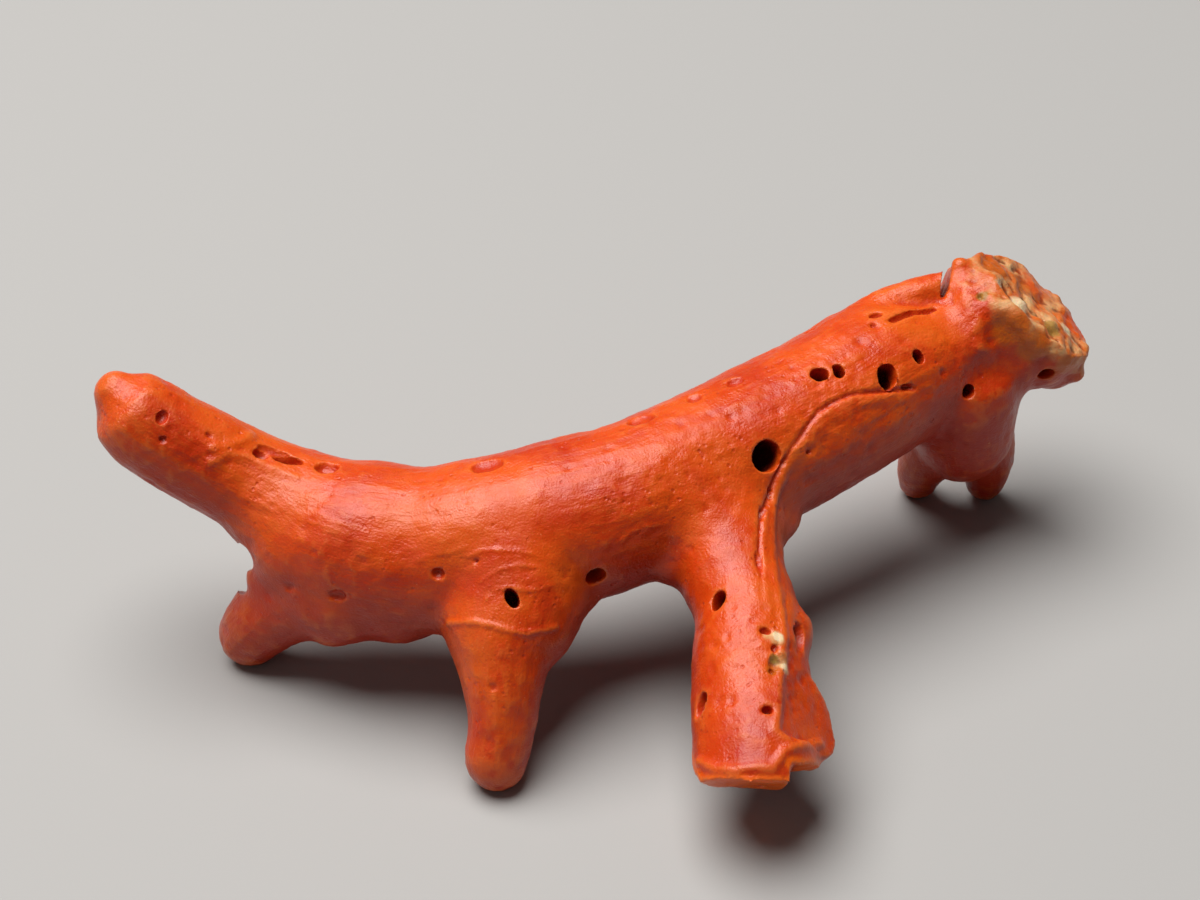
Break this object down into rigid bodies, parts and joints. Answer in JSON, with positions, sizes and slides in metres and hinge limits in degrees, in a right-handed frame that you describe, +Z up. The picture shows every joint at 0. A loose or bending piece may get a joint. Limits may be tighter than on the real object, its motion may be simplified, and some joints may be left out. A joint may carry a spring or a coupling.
{
  "type": "red coral branch",
  "caption": "Broken branch of polished red coral with short stubs and worm borings, lying on the tips of its stubs.",
  "frame": {"origin": "middle of the box round the branch, at the level of the ground it lies on", "axes": "+Z up; the stem runs along X with its broken end at +X and its upturned tip at -X; the front stubs point to -Y"},
  "size_m": [0.0504, 0.0316, 0.0157],
  "materials": {
    "coral": "glossy"
  },
  "bodies": {
    "root": {"main_stem": "coral", "upturned_tip": "coral", "left_stub": "coral", "middle_stub": "coral", "right_stub": "coral", "far_stub": "coral", "broken_end": "coral"}
  },
  "joints": []
}
